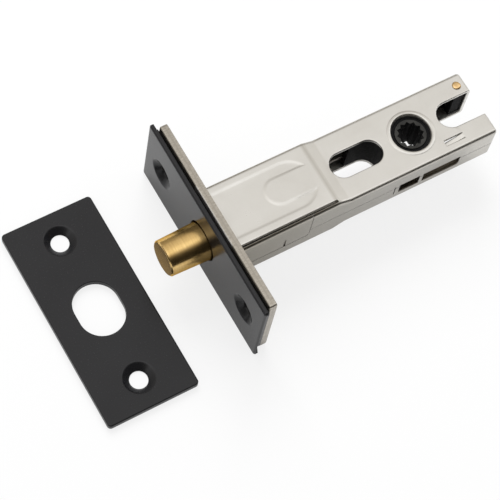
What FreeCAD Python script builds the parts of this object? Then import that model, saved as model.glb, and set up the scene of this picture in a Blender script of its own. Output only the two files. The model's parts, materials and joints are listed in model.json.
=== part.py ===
import FreeCAD, Part
import math
import os
from FreeCAD import Vector

# Tubular privacy bolt with its strike plate, in millimetres.
# +X is the way the bolt is thrown, +Y runs along the forend, +Z is square to the case's broad side.
# The origin is the centre of the faceplate's front face, on the bolt's axis.

# Main sizes
BACKSET = 60.0
THROW = 10.8
CASE_BEHIND_HUB = 20.4
FACEPLATE_LENGTH = 57.0
FACEPLATE_WIDTH = 25.0
FACEPLATE_THICKNESS = 2.0
FACEPLATE_CORNER = 0.8
FACEPLATE_EDGE = 0.35
BACKPLATE_END_INSET = 1.3
BACKPLATE_SIDE_INSET = 0.4
BACKPLATE_THICKNESS = 2.2
BACKPLATE_CORNER = 2.4
BACKPLATE_EDGE = 0.4

# Screw holes of the forend and of the strike plate
SCREW_SPACING = 41.0
SCREW_HOLE_RADIUS = 2.35
SCREW_HEAD_RADIUS = 4.2
SCREW_SEAT_DEPTH = 1.5
BACKPLATE_SCREW_PLAY = 0.25

# Pressed case
SHEET = 0.8
CASE_HALF_WIDTH = 9.6
FRONT_HALF_HEIGHT = 7.2
REAR_HALF_HEIGHT = 5.9
RIDGE_AHEAD_OF_HUB = 26.8
RAMP_LENGTH = 3.4
RIDGE_ROUND = 1.2
RAMP_FOOT_ROUND = 2.0
BEND_RADIUS = 1.0
SEAM_GAP = 0.14

# Sunk panel in both broad sides
PANEL_DEPTH = 0.4
PANEL_SLOPE = 0.25
PANEL_FRONT_BORDER = 1.3
PANEL_REAR_BORDER = 1.6
PANEL_HALF_WIDTH = 6.8
PANEL_Y = -0.5
PANEL_FRONT_ROUND = 0.8
TONGUE_LENGTH = 13.6
TONGUE_HALF_WIDTH = 3.35

# Side ears of the backplate, the gap beside them and their stake marks
EAR_LENGTH = 21.3
EAR_BELOW_SEAM = 2.8
EAR_CORNER = 1.0
EAR_GAP = 0.14
LID_GAP = 0.4
GROOVE_DEPTH = 1.7
STAKE_AHEAD_OF_EAR_END = 7.1
STAKE_WIDTH = 0.5
STAKE_HEIGHT = 3.5
STAKE_DEPTH = 0.35

# Fixing slot and rear fork, placed from the hub
SLOT_FRONT_AHEAD = 23.7
SLOT_REAR_AHEAD = 8.9
SLOT_HALF_WIDTH = 3.5
FORK_ROOT_BEHIND = 8.2
FORK_HALF_WIDTH = 3.7

# Side window with a lug and a bar across it, placed from the hub
WINDOW_FRONT_AHEAD = 9.6
WINDOW_REAR_BEHIND = 10.2
WINDOW_ABOVE_SEAM = 0.8
WINDOW_BELOW_SEAM = 3.1
WINDOW_CORNER = 0.6
WINDOW_LUG_AHEAD = 8.65
WINDOW_LUG_WIDTH = 1.1
WINDOW_BAR_AHEAD = 1.5
WINDOW_BAR_WIDTH = 0.9

# Lanced tab beside the fork
TAB_FRONT_BEHIND = 6.3
TAB_LENGTH = 5.5
TAB_FROM_SIDE = 3.1
TAB_WIDTH = 1.3
TAB_DROP = 1.5
TAB_GAP = 0.15

# Follower, its bushes and the collars that carry them
COLLAR_BORE_RADIUS = 5.2
COLLAR_WALL = 0.7
COLLAR_DEPTH = 1.95
COLLAR_MOUTH_ROUND = 0.95
COLLAR_MOUTH_STEPS = 2
BUSH_FIT = 0.03
BUSH_FLANGE_BEYOND = 0.6
BUSH_FLANGE_THICKNESS = 0.4
BUSH_FLANGE_GAP = 0.05
BUSH_SUNK = 1.0
JOURNAL_RADIUS = 4.1
RUNNING_FIT = 0.05
JOURNAL_SUNK = 0.75
NECK_SHOULDER = 0.5
NECK_END_GAP = 0.1
SPINDLE_SQUARE = 5.1
SPINDLE_CORNER_RADIUS = 3.58
STAR_SQUARES = 3

# Drive between follower and bolt
FOLLOWER_TURN = 90.0
ARM_TIP_RADIUS = 0.85
ARM_HALF_WIDTH = 0.5
ARM_HALF_HEIGHT = 1.2
DRIVE_PLAY = 0.7

# Bolt, its guide and its pin
BOLT_PROUD_WHEN_DRAWN = 0.1
BOLT_RADIUS = 5.1
BOLT_NOSE_TAPER = 0.32
BOLT_BEVEL = 0.35
BOLT_TAIL = 20.0
BOLT_SLOT_LENGTH = 7.4
FACEPLATE_BOLT_GAP = 0.35
BACKPLATE_BOLT_GAP = 0.3
GUIDE_LENGTH = 9.2
GUIDE_WALL_GAP = 0.1
PIN_RADIUS = 1.25
PIN_FROM_TAIL = 3.6
PIN_FIT = 0.02
PIN_SHORT = 0.25

# Draw bar
BAR_THICKNESS = 1.2
BAR_BELOW_FINGER = 0.8
BAR_TONGUE_HALF_WIDTH = 3.2
BAR_TONGUE_GAP = 0.3
BAR_RISER_HALF_WIDTH = 4.4
BAR_STEP_GAP = 1.4
BAR_WEB_LENGTH = 3.9
BAR_SLOT_FIT = 0.05
BAR_NECK_GAP = 0.6
BAR_WALL_GAP = 0.4
JAW_THICKNESS = 1.2
JAW_TOP = 1.5
BAR_CORNER = 1.2

# Detent spring along the +Y wall
DETENT_AHEAD = 8.0
SPRING_THICKNESS = 0.35
SPRING_HEIGHT = 1.8
SPRING_FROM_WALL = 0.75
SPRING_LIP = 2.4
SPRING_TAIL_BEHIND = 12.6
SPRING_TAIL_DROP = 2.35
SPRING_BUMP_RADIUS = 1.0
SPRING_BEND_RADIUS = 0.8
DETENT_FIT = 0.1
DETENT_RAIL_GAP = 0.75

# Moulded guard round the fixing slot, rear spacer and rivet
GUARD_LENGTH = 8.6
GUARD_BEHIND_SLOT = 1.5
GUARD_RAIL_GAP = 0.3
GUARD_SLOT_GAP = 0.1
WALL_FIT = 0.05
SPACER_LENGTH = 3.3
SPACER_FORK_GAP = 0.6
RIVET_RADIUS = 1.1
RIVET_FROM_END = 2.7
RIVET_FROM_SIDE = 3.25
RIVET_PROUD = 0.08

# Strike plate, lying flat in front of the bolt
STRIKE_LENGTH = 57.0
STRIKE_WIDTH = 25.0
STRIKE_THICKNESS = 1.8
STRIKE_CORNER = 1.0
STRIKE_EDGE = 0.25
STRIKE_AHEAD_OF_BOLT = 4.8
STRIKE_Y = 0.6
STRIKE_HOLE_LENGTH = 14.8
STRIKE_HOLE_WIDTH = 11.9

# Forend and case, from the sizes above
FOREND_DEPTH = FACEPLATE_THICKNESS + BACKPLATE_THICKNESS
BACKPLATE_LENGTH = FACEPLATE_LENGTH - 2 * BACKPLATE_END_INSET
BACKPLATE_WIDTH = FACEPLATE_WIDTH - 2 * BACKPLATE_SIDE_INSET
BACKPLATE_SCREW_RADIUS = SCREW_HOLE_RADIUS + BACKPLATE_SCREW_PLAY
HUB_X = -BACKSET
CASE_REAR_X = HUB_X - CASE_BEHIND_HUB
RIDGE_X = HUB_X + RIDGE_AHEAD_OF_HUB
RAMP_FOOT_X = RIDGE_X - RAMP_LENGTH
INNER_HALF_WIDTH = CASE_HALF_WIDTH - SHEET
INNER_REAR_HALF_HEIGHT = REAR_HALF_HEIGHT - SHEET
INNER_FRONT_HALF_HEIGHT = FRONT_HALF_HEIGHT - SHEET
PANEL_FRONT_X = -FOREND_DEPTH - PANEL_FRONT_BORDER
PANEL_REAR_X = RIDGE_X + PANEL_REAR_BORDER
TONGUE_NOSE_X = PANEL_REAR_X + TONGUE_LENGTH
EAR_REAR_X = -FOREND_DEPTH - EAR_LENGTH
STAKE_X = EAR_REAR_X + STAKE_AHEAD_OF_EAR_END
SLOT_FRONT_X = HUB_X + SLOT_FRONT_AHEAD
SLOT_REAR_X = HUB_X + SLOT_REAR_AHEAD
FORK_ROOT_X = HUB_X - FORK_ROOT_BEHIND
TAB_FRONT_X = HUB_X - TAB_FRONT_BEHIND
TAB_REAR_X = TAB_FRONT_X - TAB_LENGTH
TAB_Y = CASE_HALF_WIDTH - TAB_FROM_SIDE
RIVET_X = CASE_REAR_X + RIVET_FROM_END
RIVET_Y = -CASE_HALF_WIDTH + RIVET_FROM_SIDE

# Follower and drive, from the sizes above
HALF_TURN = math.radians(FOLLOWER_TURN / 2)
ARM_RADIUS = THROW / (2 * math.sin(HALF_TURN))
DRIVE_X = HUB_X + THROW / 2
JAW_HALF_GAP = ARM_TIP_RADIUS + DRIVE_PLAY
NECK_RADIUS = JOURNAL_RADIUS + NECK_SHOULDER
COLLAR_END_Z = REAR_HALF_HEIGHT - COLLAR_DEPTH
BUSH_TOP_Z = REAR_HALF_HEIGHT - BUSH_SUNK
BUSH_FLANGE_TOP_Z = COLLAR_END_Z - BUSH_FLANGE_GAP
BUSH_BOTTOM_Z = BUSH_FLANGE_TOP_Z - BUSH_FLANGE_THICKNESS
BUSH_FLANGE_RADIUS = COLLAR_BORE_RADIUS + BUSH_FLANGE_BEYOND
NECK_END_Z = BUSH_BOTTOM_Z - NECK_END_GAP

# Bolt, draw bar, spring and strike plate, from the sizes above
BOLT_NOSE_X = THROW + BOLT_PROUD_WHEN_DRAWN
BOLT_NOSE_RADIUS = BOLT_RADIUS - BOLT_NOSE_TAPER
BOLT_REAR_X = -BOLT_TAIL
BOLT_SLOT_FRONT_X = BOLT_REAR_X + BOLT_SLOT_LENGTH
GUIDE_REAR_X = -FOREND_DEPTH - GUIDE_LENGTH
PIN_X = BOLT_REAR_X + PIN_FROM_TAIL
BAR_TONGUE_FRONT_X = BOLT_SLOT_FRONT_X - BAR_TONGUE_GAP
BAR_WEB_FRONT_X = BOLT_REAR_X - BAR_STEP_GAP
BAR_REAR_X = DRIVE_X - JAW_HALF_GAP - JAW_THICKNESS
BAR_PLATE_TOP = -ARM_HALF_HEIGHT - BAR_BELOW_FINGER
BAR_PLATE_BOTTOM = BAR_PLATE_TOP - BAR_THICKNESS
RAIL_INNER_Y = NECK_RADIUS + BAR_NECK_GAP
DRIVE_RAIL_OUTER_Y = INNER_HALF_WIDTH - BAR_WALL_GAP
DETENT_X = HUB_X + DETENT_AHEAD
SPRING_Y = INNER_HALF_WIDTH - SPRING_FROM_WALL
DETENT_RAIL_OUTER_Y = SPRING_Y - DETENT_RAIL_GAP
SPRING_FRONT_X = DETENT_X + SPRING_LIP
SPRING_TAIL_X = HUB_X - SPRING_TAIL_BEHIND
SPRING_TAIL_Y = SPRING_Y - SPRING_TAIL_DROP
GUARD_REAR_X = SLOT_REAR_X - GUARD_BEHIND_SLOT
GUARD_FRONT_X = GUARD_REAR_X + GUARD_LENGTH
GUARD_HALF_WIDTH = RAIL_INNER_Y - GUARD_RAIL_GAP
SPACER_REAR_X = CASE_REAR_X + SHEET + WALL_FIT
STRIKE_X = BOLT_NOSE_X + STRIKE_AHEAD_OF_BOLT + STRIKE_WIDTH / 2
BEYOND = 5.0


def box(x_range, y_range, z_range):
    """Solid block between three pairs of limits, given in either order."""
    low = Vector(min(x_range), min(y_range), min(z_range))
    high = Vector(max(x_range), max(y_range), max(z_range))
    size = high - low
    return Part.makeBox(size.x, size.y, size.z, low)


def both(limit):
    """Pair of limits the same distance each side of zero."""
    return (-limit, limit)


def rod_x(x_range, radius, y=0.0, z=0.0):
    """Cylinder along X."""
    start = Vector(min(x_range), y, z)
    return Part.makeCylinder(radius, abs(x_range[1] - x_range[0]), start, Vector(1, 0, 0))


def rod_z(z_range, radius, x=0.0, y=0.0):
    """Cylinder along Z."""
    start = Vector(x, y, min(z_range))
    return Part.makeCylinder(radius, abs(z_range[1] - z_range[0]), start, Vector(0, 0, 1))


def rounded_wire(corners):
    """Closed wire through corners of (point, radius), each corner rounded by its radius."""
    count = len(corners)
    starts = []
    ends = []
    middles = []
    for index in range(count):
        point, radius = corners[index]
        before = (corners[index - 1][0] - point).normalize()
        after = (corners[(index + 1) % count][0] - point).normalize()
        half_angle = before.getAngle(after) / 2
        reach = radius / math.tan(half_angle)
        to_centre = (before + after).normalize()
        centre = point + to_centre * (radius / math.sin(half_angle))
        starts.append(point + before * reach)
        ends.append(point + after * reach)
        middles.append(centre - to_centre * radius)
    edges = []
    for index in range(count):
        if corners[index][1] > 0:
            edges.append(Part.Arc(starts[index], middles[index], ends[index]).toShape())
        following = (index + 1) % count
        if ends[index].distanceToPoint(starts[following]) > 1e-6:
            edges.append(Part.LineSegment(ends[index], starts[following]).toShape())
    return Part.Wire(edges)


def plate(length_y, width, thickness, corner):
    """Flat plate across X, from its front face at X = 0 back to -thickness."""
    half_y = length_y / 2
    half_z = width / 2
    corners = [(Vector(0, y, z), corner) for y, z in
               ((-half_y, -half_z), (half_y, -half_z), (half_y, half_z), (-half_y, half_z))]
    return Part.Face(rounded_wire(corners)).extrude(Vector(-thickness, 0, 0))


def slot_prism(x_range, half_width, z_range):
    """Obround prism along Z whose ends reach the two X limits."""
    front = max(x_range) - half_width
    rear = min(x_range) + half_width
    middle = box((rear, front), both(half_width), z_range)
    ends = [rod_z(z_range, half_width, x) for x in (rear, front)]
    return middle.multiFuse(ends).removeSplitter()


def edges_at(shape, test):
    """Edges whose every sampled point passes the test."""
    return [edge for edge in shape.Edges if all(test(point) for point in edge.discretize(5))]


def countersunk_hole(top, through_radius, head_radius, seat_depth, thickness):
    """Cutter along -Z from a face at height top: cone seat, then a plain hole."""
    cone = Part.makeCone(through_radius, head_radius, seat_depth, Vector(0, 0, top - seat_depth))
    mouth = rod_z((top, top + BEYOND), head_radius)
    hole = rod_z((top - thickness - BEYOND, top), through_radius)
    return cone.multiFuse([mouth, hole])


def turned_to_face_x(shape):
    """Shape turned so that what pointed along +Z points along +X."""
    turned = shape.copy()
    turned.rotate(Vector(0, 0, 0), Vector(0, 1, 0), 90)
    return turned


def moved(shape, x=0.0, y=0.0, z=0.0):
    """Copy of the shape at another place."""
    copy = shape.copy()
    copy.translate(Vector(x, y, z))
    return copy


def turned_over(shape):
    """Copy of the shape turned half a turn about the bolt's axis."""
    copy = shape.copy()
    copy.rotate(Vector(0, 0, 0), Vector(1, 0, 0), 180)
    return copy


def make_faceplate():
    """Black forend plate with a bolt hole and two countersunk screw holes."""
    body = plate(FACEPLATE_LENGTH, FACEPLATE_WIDTH, FACEPLATE_THICKNESS, FACEPLATE_CORNER)
    front_edges = edges_at(body, lambda p: abs(p.x) < 1e-6)
    body = body.makeChamfer(FACEPLATE_EDGE, front_edges)
    bolt_hole = rod_x((-FACEPLATE_THICKNESS - BEYOND, BEYOND), BOLT_RADIUS + FACEPLATE_BOLT_GAP)
    seat = turned_to_face_x(countersunk_hole(
        0.0, SCREW_HOLE_RADIUS, SCREW_HEAD_RADIUS, SCREW_SEAT_DEPTH, FACEPLATE_THICKNESS))
    seats = [moved(seat, y=side * SCREW_SPACING / 2) for side in (-1, 1)]
    return body.cut([bolt_hole] + seats)


def ear_prism(side, grow, inward):
    """Cutting block that bounds one ear, grown on its free edges; side is +1 or -1 along Y."""
    rear = EAR_REAR_X - grow
    top = FRONT_HALF_HEIGHT + BEYOND
    bottom = -EAR_BELOW_SEAM - grow
    front = -FACEPLATE_THICKNESS
    corners = [(Vector(front, 0, bottom), 0.0), (Vector(rear, 0, bottom), EAR_CORNER),
               (Vector(rear, 0, top), 0.0), (Vector(front, 0, top), 0.0)]
    block = Part.Face(rounded_wire(corners)).extrude(Vector(0, SHEET + inward + BEYOND, 0))
    block = moved(block, y=INNER_HALF_WIDTH - inward)
    if side < 0:
        block = turned_over(block)
    return block


def make_ear(side):
    """Ear folded back beside the case, its upper edge bent round like the case's, with a stake mark."""
    overlap = BACKPLATE_THICKNESS / 2
    ear = case_block(0.0, overlap - FOREND_DEPTH, BEND_RADIUS).common(ear_prism(1, 0.0, 0.0))
    stake = box((STAKE_X - STAKE_WIDTH / 2, STAKE_X + STAKE_WIDTH / 2),
                (CASE_HALF_WIDTH - STAKE_DEPTH, CASE_HALF_WIDTH + BEYOND),
                (-EAR_BELOW_SEAM - BEYOND, STAKE_HEIGHT - EAR_BELOW_SEAM))
    ear = ear.cut(stake)
    if side < 0:
        ear = turned_over(ear)
    return ear


def make_backplate():
    """Nickelled plate behind the faceplate, with an ear folded back along each side of the case."""
    body = plate(BACKPLATE_LENGTH, BACKPLATE_WIDTH, BACKPLATE_THICKNESS, BACKPLATE_CORNER)
    front_edges = edges_at(body, lambda p: abs(p.x) < 1e-6)
    body = moved(body.makeChamfer(BACKPLATE_EDGE, front_edges), x=-FACEPLATE_THICKNESS)
    body = body.multiFuse([make_ear(side) for side in (-1, 1)]).removeSplitter()
    bolt_hole = rod_x((-FOREND_DEPTH - BEYOND, 0), BOLT_RADIUS + BACKPLATE_BOLT_GAP)
    screw_holes = [rod_x((-FOREND_DEPTH - BEYOND, 0), BACKPLATE_SCREW_RADIUS, side * SCREW_SPACING / 2)
                   for side in (-1, 1)]
    return body.cut([bolt_hole] + screw_holes)


def case_block(inset, front_x, bend):
    """Stepped block of the case, inset from its outer faces, with its long edges bent round."""
    ramp_angle = math.atan2(FRONT_HALF_HEIGHT - REAR_HALF_HEIGHT, RAMP_LENGTH)
    shift = inset * math.tan(ramp_angle / 2)
    rear = CASE_REAR_X + inset
    high = FRONT_HALF_HEIGHT - inset
    low = REAR_HALF_HEIGHT - inset
    ridge = RIDGE_X + shift
    foot = RAMP_FOOT_X + shift
    corners = [(Vector(front_x, 0, high), 0.0), (Vector(ridge, 0, high), RIDGE_ROUND - inset),
               (Vector(foot, 0, low), RAMP_FOOT_ROUND + inset), (Vector(rear, 0, low), bend),
               (Vector(rear, 0, -low), bend), (Vector(foot, 0, -low), RAMP_FOOT_ROUND + inset),
               (Vector(ridge, 0, -high), RIDGE_ROUND - inset), (Vector(front_x, 0, -high), 0.0)]
    half_width = CASE_HALF_WIDTH - inset
    block = Part.Face(rounded_wire(corners)).extrude(Vector(0, 2 * half_width, 0))
    block = moved(block, y=-half_width)
    if bend == 0:
        return block
    side_edges = edges_at(block, lambda p: abs(abs(p.y) - half_width) < 1e-6)
    side_edges = [edge for edge in side_edges if edge.BoundBox.XMin < front_x - 1e-6]
    return block.makeFillet(bend, side_edges)


def panel_wire(z, grow):
    """Outline of the sunk panel at a height, grown by a distance; its rear end is a half circle."""
    front = PANEL_FRONT_X + grow
    rear = PANEL_REAR_X - grow
    half = PANEL_HALF_WIDTH + grow
    corners = [(Vector(front, PANEL_Y - half, z), PANEL_FRONT_ROUND + grow),
               (Vector(rear, PANEL_Y - half, z), half),
               (Vector(rear, PANEL_Y + half, z), half),
               (Vector(front, PANEL_Y + half, z), PANEL_FRONT_ROUND + grow)]
    return rounded_wire(corners)


def tongue_wire(z, grow):
    """Outline of the raised tongue that splits the panel's rear, at a height."""
    half = TONGUE_HALF_WIDTH + grow
    nose = TONGUE_NOSE_X + grow
    rear = PANEL_REAR_X - BEYOND
    corners = [(Vector(nose, PANEL_Y - half, z), half), (Vector(rear, PANEL_Y - half, z), 0.0),
               (Vector(rear, PANEL_Y + half, z), 0.0), (Vector(nose, PANEL_Y + half, z), half)]
    return rounded_wire(corners)


def panel_solid(top, bottom):
    """Sunk panel between two heights, its walls sloping in towards the bottom."""
    panel = Part.makeLoft([panel_wire(top, PANEL_SLOPE / 2), panel_wire(bottom, -PANEL_SLOPE / 2)],
                          True, True)
    tongue = Part.makeLoft([tongue_wire(top, -PANEL_SLOPE / 2), tongue_wire(bottom, PANEL_SLOPE / 2)],
                           True, True)
    return panel.cut(tongue)


def collar_tools():
    """Collar to add round the follower's hole, and the rolled mouth and bore to cut there."""
    outer = COLLAR_BORE_RADIUS + COLLAR_WALL
    collar = rod_z((COLLAR_END_Z, INNER_REAR_HALF_HEIGHT + SHEET / 2), outer, HUB_X)
    bore = rod_z((0, FRONT_HALF_HEIGHT + BEYOND), COLLAR_BORE_RADIUS, HUB_X)
    mouth_radius = COLLAR_BORE_RADIUS + COLLAR_MOUTH_ROUND
    low = REAR_HALF_HEIGHT - COLLAR_MOUTH_ROUND
    above = REAR_HALF_HEIGHT + BEYOND
    points = [Vector(mouth_radius, 0, above), Vector(0, 0, above), Vector(0, 0, low)]
    for step in range(COLLAR_MOUTH_STEPS + 1):
        angle = math.radians(90 * step / COLLAR_MOUTH_STEPS)
        radius = mouth_radius - COLLAR_MOUTH_ROUND * math.cos(angle)
        points.append(Vector(radius, 0, low + COLLAR_MOUTH_ROUND * math.sin(angle)))
    mouth = Part.Face(Part.makePolygon(points + points[:1])).revolve(Vector(0, 0, 0), Vector(0, 0, 1), 360)
    return collar, bore, moved(mouth, x=HUB_X)


def lanced_tab():
    """Tab cut free on three sides and pushed down at its front end, and the slit round it."""
    side = TAB_WIDTH / 2
    slit = box((TAB_FRONT_X + TAB_GAP, TAB_REAR_X), (TAB_Y - side - TAB_GAP, TAB_Y + side + TAB_GAP),
               (INNER_REAR_HALF_HEIGHT - BEYOND, REAR_HALF_HEIGHT + BEYOND))
    top = REAR_HALF_HEIGHT
    corners = [Vector(TAB_REAR_X - TAB_GAP, 0, top), Vector(TAB_FRONT_X, 0, top - TAB_DROP),
               Vector(TAB_FRONT_X, 0, top - TAB_DROP - SHEET), Vector(TAB_REAR_X - TAB_GAP, 0, top - SHEET)]
    profile = Part.Face(Part.makePolygon(corners + corners[:1]))
    tab = moved(profile.extrude(Vector(0, TAB_WIDTH, 0)), y=TAB_Y - side)
    return tab, slit


def lid_groove():
    """Cutter for the groove between the broad side and the side wall, from the ear to the ridge."""
    return box((EAR_REAR_X, RIDGE_X), (INNER_HALF_WIDTH - LID_GAP, INNER_HALF_WIDTH),
               (FRONT_HALF_HEIGHT - GROOVE_DEPTH, FRONT_HALF_HEIGHT + BEYOND))


def make_case_half():
    """Upper half of the pressed case, before the openings that differ between the halves."""
    front = -FOREND_DEPTH
    outer = case_block(0.0, front, BEND_RADIUS)
    inner = case_block(SHEET, front + BEYOND, 0.0)
    panel_inside = panel_solid(INNER_FRONT_HALF_HEIGHT + SHEET / 2, INNER_FRONT_HALF_HEIGHT - PANEL_DEPTH)
    collar, bore, mouth = collar_tools()
    tab, slit = lanced_tab()
    shell = outer.cut(inner).multiFuse([panel_inside, collar])
    cutters = [panel_solid(FRONT_HALF_HEIGHT, FRONT_HALF_HEIGHT - PANEL_DEPTH), bore, mouth, slit,
               slot_prism((SLOT_FRONT_X, SLOT_REAR_X), SLOT_HALF_WIDTH, (0, FRONT_HALF_HEIGHT + BEYOND)),
               slot_prism((FORK_ROOT_X, CASE_REAR_X - 2 * BEYOND), FORK_HALF_WIDTH,
                          (-BEYOND, FRONT_HALF_HEIGHT + BEYOND)),
               box((BEYOND, CASE_REAR_X - BEYOND), both(CASE_HALF_WIDTH + BEYOND),
                   (SEAM_GAP / 2, -FRONT_HALF_HEIGHT - BEYOND)),
               ear_prism(1, EAR_GAP, LID_GAP), ear_prism(-1, EAR_GAP, LID_GAP), lid_groove()]
    return shell.cut(cutters).fuse(tab).removeSplitter()


def rivet_hole():
    """Cutter for the rear rivet."""
    return rod_z(both(FRONT_HALF_HEIGHT + BEYOND), RIVET_RADIUS + PIN_FIT, RIVET_X, RIVET_Y)


def side_window():
    """Cutter for the window in the +Y side wall, leaving a lug and a bar across it."""
    wall = (INNER_HALF_WIDTH - SHEET / 2, CASE_HALF_WIDTH + BEYOND)
    front = HUB_X + WINDOW_FRONT_AHEAD
    rear = HUB_X - WINDOW_REAR_BEHIND
    corners = [(Vector(front, 0, WINDOW_ABOVE_SEAM), 0.0), (Vector(front, 0, -WINDOW_BELOW_SEAM), 0.0),
               (Vector(rear, 0, -WINDOW_BELOW_SEAM), WINDOW_CORNER),
               (Vector(rear, 0, WINDOW_ABOVE_SEAM), WINDOW_CORNER)]
    window = Part.Face(rounded_wire(corners)).extrude(Vector(0, wall[1] - wall[0], 0))
    window = moved(window, y=wall[0])
    bars = []
    for ahead, width in ((WINDOW_LUG_AHEAD, WINDOW_LUG_WIDTH), (WINDOW_BAR_AHEAD, WINDOW_BAR_WIDTH)):
        centre = HUB_X + ahead
        bars.append(box((centre - width / 2, centre + width / 2), (wall[0] - BEYOND, wall[1] + BEYOND),
                        both(FRONT_HALF_HEIGHT)))
    return window.cut(bars)


def make_case_upper(half):
    """Upper half of the case."""
    return half.cut([side_window(), rivet_hole()])


def make_case_lower(half):
    """Lower half of the case: the upper half turned over, with its own share of the window."""
    return turned_over(half).cut([side_window(), rivet_hole()])


def make_bolt():
    """Turned bolt, tapering towards its bevelled nose, with a slot across its rear."""
    outline = [(BOLT_NOSE_X, 0.0), (BOLT_NOSE_X, BOLT_NOSE_RADIUS - BOLT_BEVEL),
               (BOLT_NOSE_X - BOLT_BEVEL, BOLT_NOSE_RADIUS), (BOLT_PROUD_WHEN_DRAWN, BOLT_RADIUS),
               (BOLT_REAR_X, BOLT_RADIUS), (BOLT_REAR_X, 0.0)]
    points = [Vector(x, radius, 0) for x, radius in outline]
    body = Part.Face(Part.makePolygon(points + points[:1])).revolve(Vector(0, 0, 0), Vector(1, 0, 0), 360)
    slot = box((BOLT_SLOT_FRONT_X, BOLT_REAR_X - BEYOND), both(BOLT_RADIUS + BEYOND),
               both(BAR_THICKNESS / 2 + BAR_SLOT_FIT))
    hole = rod_z(both(BOLT_RADIUS + BEYOND), PIN_RADIUS + PIN_FIT, PIN_X)
    return body.cut([slot, hole])


def make_bolt_pin():
    """Pin that holds the draw bar in the bolt's slot, ending inside the bolt's round."""
    return rod_z(both(BOLT_RADIUS - PIN_SHORT), PIN_RADIUS, PIN_X)


def make_bolt_guide():
    """Moulded block behind the backplate that the bolt slides in."""
    half_y = INNER_HALF_WIDTH - GUIDE_WALL_GAP
    half_z = INNER_FRONT_HALF_HEIGHT - PANEL_DEPTH - GUIDE_WALL_GAP
    body = box((-FOREND_DEPTH, GUIDE_REAR_X), both(half_y), both(half_z))
    return body.cut(rod_x((GUIDE_REAR_X - BEYOND, 0), BOLT_RADIUS + RUNNING_FIT))


def make_draw_bar():
    """Stamped bar from the bolt to the follower: tongue, step, window plate, jaws and notches."""
    half = BAR_THICKNESS / 2
    plate_z = (BAR_PLATE_BOTTOM, BAR_PLATE_TOP)
    tongue = box((BAR_TONGUE_FRONT_X, BAR_WEB_FRONT_X), both(BAR_TONGUE_HALF_WIDTH), both(half))
    riser = box((BAR_WEB_FRONT_X, BAR_WEB_FRONT_X - BAR_THICKNESS), both(BAR_RISER_HALF_WIDTH),
                (BAR_PLATE_BOTTOM, half))
    outline = [(Vector(BAR_WEB_FRONT_X, -DRIVE_RAIL_OUTER_Y, BAR_PLATE_BOTTOM), BAR_CORNER),
               (Vector(BAR_REAR_X, -DRIVE_RAIL_OUTER_Y, BAR_PLATE_BOTTOM), 0.0),
               (Vector(BAR_REAR_X, DETENT_RAIL_OUTER_Y, BAR_PLATE_BOTTOM), BAR_CORNER / 2),
               (Vector(BAR_WEB_FRONT_X, DETENT_RAIL_OUTER_Y, BAR_PLATE_BOTTOM), BAR_CORNER)]
    sheet = Part.Face(rounded_wire(outline)).extrude(Vector(0, 0, BAR_THICKNESS))
    window = box((BAR_WEB_FRONT_X - BAR_WEB_LENGTH, BAR_REAR_X - BEYOND), both(RAIL_INNER_Y),
                 (BAR_PLATE_BOTTOM - BEYOND, BAR_PLATE_TOP + BEYOND))
    window = window.makeFillet(BAR_CORNER, edges_at(
        window, lambda p: abs(p.x - BAR_WEB_FRONT_X + BAR_WEB_LENGTH) < 1e-6
        and abs(abs(p.y) - RAIL_INNER_Y) < 1e-6))
    notch_radius = SPRING_BUMP_RADIUS + SPRING_THICKNESS / 2 + DETENT_FIT
    notches = [rod_z(plate_z, notch_radius, x, SPRING_Y) for x in (DETENT_X, DETENT_X + THROW)]
    jaws = []
    for side in (-1, 1):
        near = DRIVE_X + side * JAW_HALF_GAP
        far = near + side * JAW_THICKNESS
        jaws.append(box((near, far), (-DRIVE_RAIL_OUTER_Y, -RAIL_INNER_Y), (BAR_PLATE_BOTTOM, JAW_TOP)))
    body = sheet.cut([window] + notches)
    body = body.multiFuse([tongue, riser] + jaws).removeSplitter()
    return body.cut(rod_z(both(BAR_THICKNESS), PIN_RADIUS + PIN_FIT, PIN_X))


def star_socket(z_range):
    """Many-pointed socket: squares turned evenly about the follower's axis, corners cut round."""
    side = SPINDLE_SQUARE / 2
    squares = []
    for index in range(STAR_SQUARES):
        square = box(both(side), both(side), z_range)
        square.rotate(Vector(0, 0, 0), Vector(0, 0, 1), index * 90 / STAR_SQUARES)
        squares.append(square)
    star = squares[0].multiFuse(squares[1:]).removeSplitter()
    return moved(star.common(rod_z(z_range, SPINDLE_CORNER_RADIUS)), x=HUB_X)


def make_follower():
    """Follower with a star socket and one drive finger, finger forward as with the bolt thrown."""
    journal_end = REAR_HALF_HEIGHT - JOURNAL_SUNK
    journals = rod_z(both(journal_end), JOURNAL_RADIUS, HUB_X)
    neck = rod_z(both(NECK_END_Z), NECK_RADIUS, HUB_X)
    height = both(ARM_HALF_HEIGHT)
    stem = box(both(ARM_HALF_WIDTH), (-ARM_RADIUS, 0), height)
    tip = rod_z(height, ARM_TIP_RADIUS, 0, -ARM_RADIUS)
    finger = stem.fuse(tip)
    finger.rotate(Vector(0, 0, 0), Vector(0, 0, 1), FOLLOWER_TURN / 2)
    body = journals.multiFuse([neck, moved(finger, x=HUB_X)]).removeSplitter()
    return body.cut(star_socket(both(journal_end + BEYOND)))


def make_follower_bush():
    """Moulded bush in the upper collar, flanged inside the case."""
    sleeve = rod_z((BUSH_BOTTOM_Z, BUSH_TOP_Z), COLLAR_BORE_RADIUS - BUSH_FIT, HUB_X)
    flange = rod_z((BUSH_BOTTOM_Z, BUSH_FLANGE_TOP_Z), BUSH_FLANGE_RADIUS, HUB_X)
    bore = rod_z((0, REAR_HALF_HEIGHT + BEYOND), JOURNAL_RADIUS + RUNNING_FIT, HUB_X)
    return sleeve.fuse(flange).cut(bore).removeSplitter()


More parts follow.
